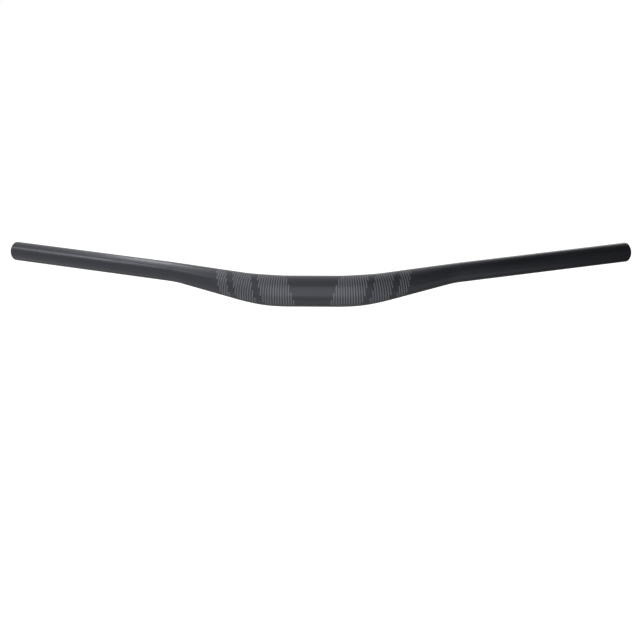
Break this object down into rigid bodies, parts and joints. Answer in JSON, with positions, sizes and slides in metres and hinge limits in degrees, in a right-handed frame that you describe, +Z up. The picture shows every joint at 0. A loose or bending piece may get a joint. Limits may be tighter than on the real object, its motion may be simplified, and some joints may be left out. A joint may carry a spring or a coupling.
{
  "type": "bicycle handlebar",
  "caption": "Riser handlebar for a bicycle: a bent, butted aluminium tube with a thick stem clamp, a low rise, and slim swept-back ends for grips.",
  "frame": {"origin": "middle of the stem clamp, on its axis", "axes": "+X along the clamp to the right, +Y back towards the rider, +Z up; both grip ends sweep back and up"},
  "size_m": [0.7238, 0.0768, 0.0636],
  "materials": {
    "black_anodised": "satin",
    "grey_print": "satin"
  },
  "bodies": {
    "root": {"handlebar": "black_anodised"}
  },
  "joints": []
}
